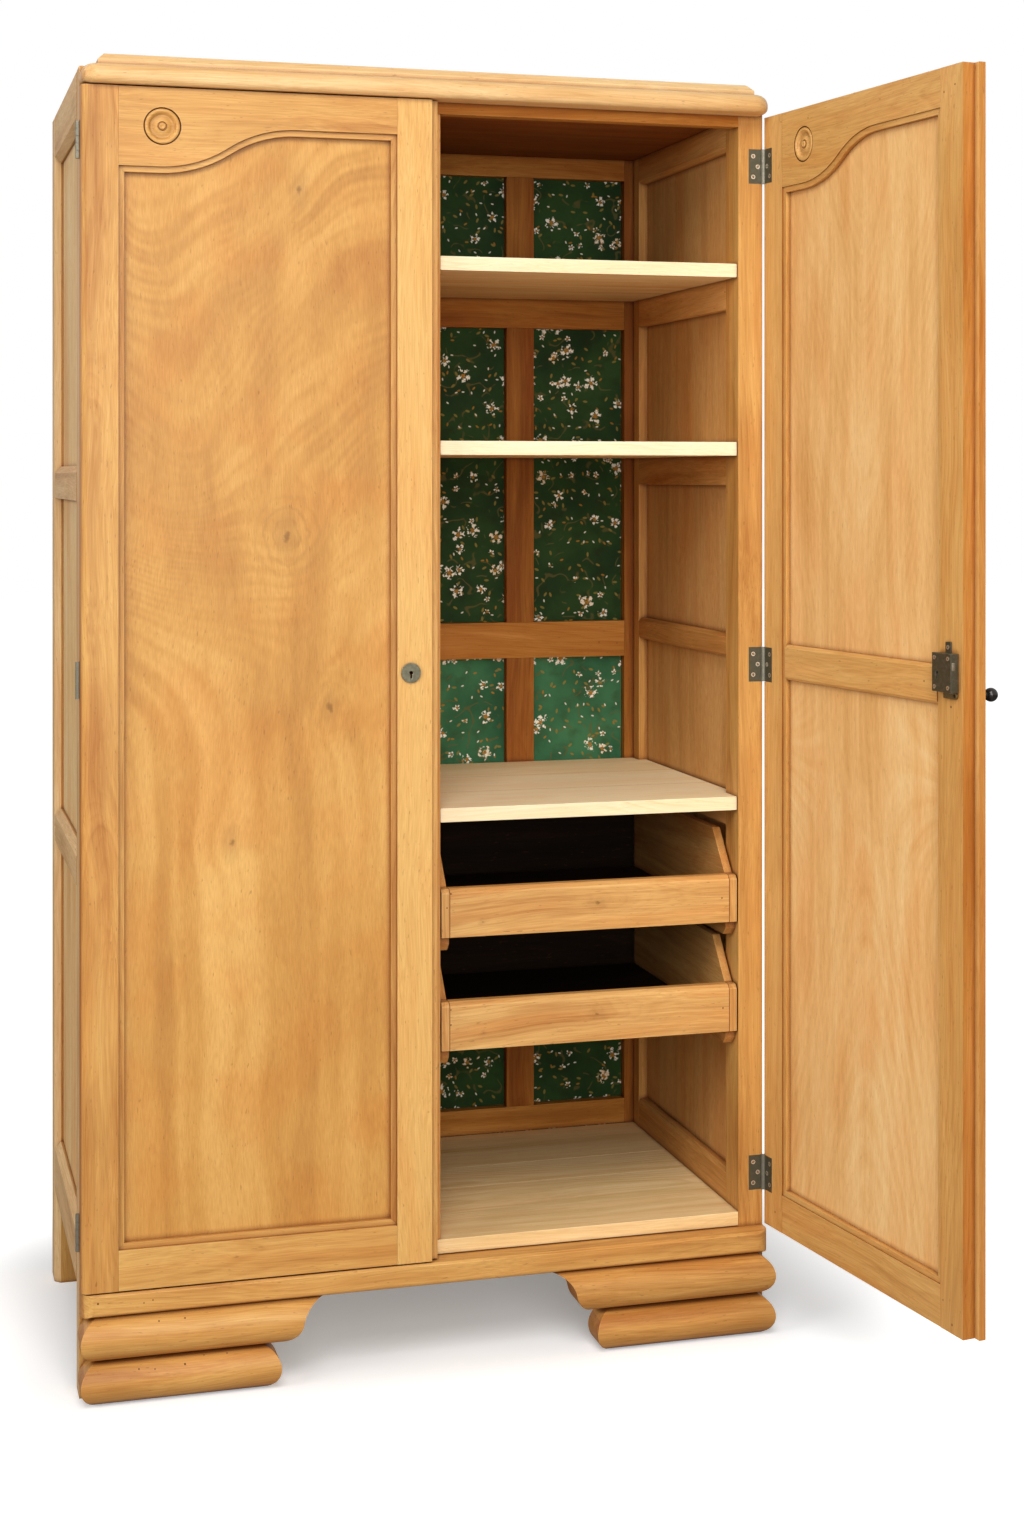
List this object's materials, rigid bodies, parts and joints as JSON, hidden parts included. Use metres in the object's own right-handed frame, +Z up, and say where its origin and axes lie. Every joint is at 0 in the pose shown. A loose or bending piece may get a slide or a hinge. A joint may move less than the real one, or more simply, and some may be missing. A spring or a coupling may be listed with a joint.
{
  "type": "wardrobe",
  "caption": "Linen wardrobe with two framed doors, one open on shelves and sliding trays, on stacked rolled feet.",
  "frame": {"origin": "on the floor, under the middle of the whole part's box with the right door open", "axes": "+X to the right of someone facing the doors, +Y to the back, +Z up"},
  "size_m": [1.1144, 0.986, 1.793],
  "materials": {
    "honey_beech": "satin",
    "veneer_panel": "satin",
    "pale_pine": "matte",
    "tray_ply": "matte",
    "printed_paper": "matte",
    "hinge_steel": "worn",
    "lock_steel": "worn",
    "plate_steel": "worn",
    "knob_iron": "satin",
    "rail_steel": "polished"
  },
  "bodies": {
    "carcass": {"front_posts": "honey_beech", "back_posts": "honey_beech", "side_rails": "honey_beech", "side_panels": "veneer_panel", "inner_side_rails": "honey_beech", "top_rails": "honey_beech", "ceiling_panel": "honey_beech", "cornice": "honey_beech", "top_cap": "honey_beech", "floor_rails": "honey_beech", "floor_boards": "pale_pine", "centre_partition": "honey_beech", "back_rails": "honey_beech", "back_stiles": "honey_beech", "printed_back_panel": "printed_paper", "base_rail": "honey_beech", "lower_foot_rolls": "honey_beech", "upper_foot_rolls": "honey_beech", "foot_blocks": "honey_beech", "shelves": "pale_pine", "shelf_bearers": "honey_beech", "tray_runners": "honey_beech", "hanging_rail": "rail_steel", "rail_sockets": "rail_steel", "carcass_hinge_leaves": "hinge_steel", "hinge_pins": "hinge_steel", "carcass_hinge_screws": "hinge_steel"},
    "left_door": {"left_door_stiles": "honey_beech", "left_door_top_rail": "honey_beech", "left_door_bottom_rail": "honey_beech", "left_door_cross_rail": "honey_beech", "left_door_panel": "veneer_panel", "left_door_beads": "honey_beech", "left_door_rosettes": "honey_beech", "left_door_hinge_leaves": "hinge_steel", "left_door_screws": "hinge_steel", "left_door_lock_case": "lock_steel", "left_door_escutcheon": "plate_steel"},
    "right_door": {"right_door_stiles": "honey_beech", "right_door_top_rail": "honey_beech", "right_door_bottom_rail": "honey_beech", "right_door_cross_rail": "honey_beech", "right_door_panel": "veneer_panel", "right_door_beads": "honey_beech", "right_door_rosettes": "honey_beech", "right_door_hinge_leaves": "hinge_steel", "right_door_screws": "hinge_steel", "right_door_lock_case": "lock_steel", "right_door_escutcheon": "plate_steel"},
    "upper_tray": {"upper_tray_front": "honey_beech", "upper_tray_sides": "honey_beech", "upper_tray_bottom": "tray_ply"},
    "lower_tray": {"lower_tray_front": "honey_beech", "lower_tray_sides": "honey_beech", "lower_tray_bottom": "tray_ply"},
    "left_lock_bolt": {"left_lock_bolt": "lock_steel"},
    "right_lock_bolt": {"right_lock_bolt": "lock_steel"},
    "turn_knob": {"turn_knob": "knob_iron", "turn_catch": "knob_iron"}
  },
  "joints": [
    {"name": "left_door_hinge", "type": "hinge", "parent": "carcass", "child": "left_door", "pos_m": [-0.55343, -0.00271, 0.958], "axis": [0, 0, -1], "range_deg": [0, 180]},
    {"name": "right_door_hinge", "type": "hinge", "parent": "carcass", "child": "right_door", "pos_m": [0.42557, -0.00271, 0.958], "axis": [0, 0, 1], "range_deg": [-98.5, 81.5]},
    {"name": "upper_tray_slide", "type": "slide", "parent": "carcass", "child": "upper_tray", "axis": [0, -1, 0], "range_m": [0, 0.3]},
    {"name": "lower_tray_slide", "type": "slide", "parent": "carcass", "child": "lower_tray", "axis": [0, -1, 0], "range_m": [0, 0.3]},
    {"name": "left_bolt_slide", "type": "slide", "parent": "left_door", "child": "left_lock_bolt", "axis": [1, 0, 0], "range_m": [0, 0.007]},
    {"name": "right_bolt_slide", "type": "slide", "parent": "right_door", "child": "right_lock_bolt", "axis": [0.1478, -0.989, 0], "range_m": [0, 0.007]},
    {"name": "turn_knob_turn", "type": "hinge", "parent": "right_door", "child": "turn_knob", "pos_m": [0.5098, -0.46989, 0.9535], "axis": [-0.989, -0.1478, 0], "range_deg": [0, 90]}
  ]
}
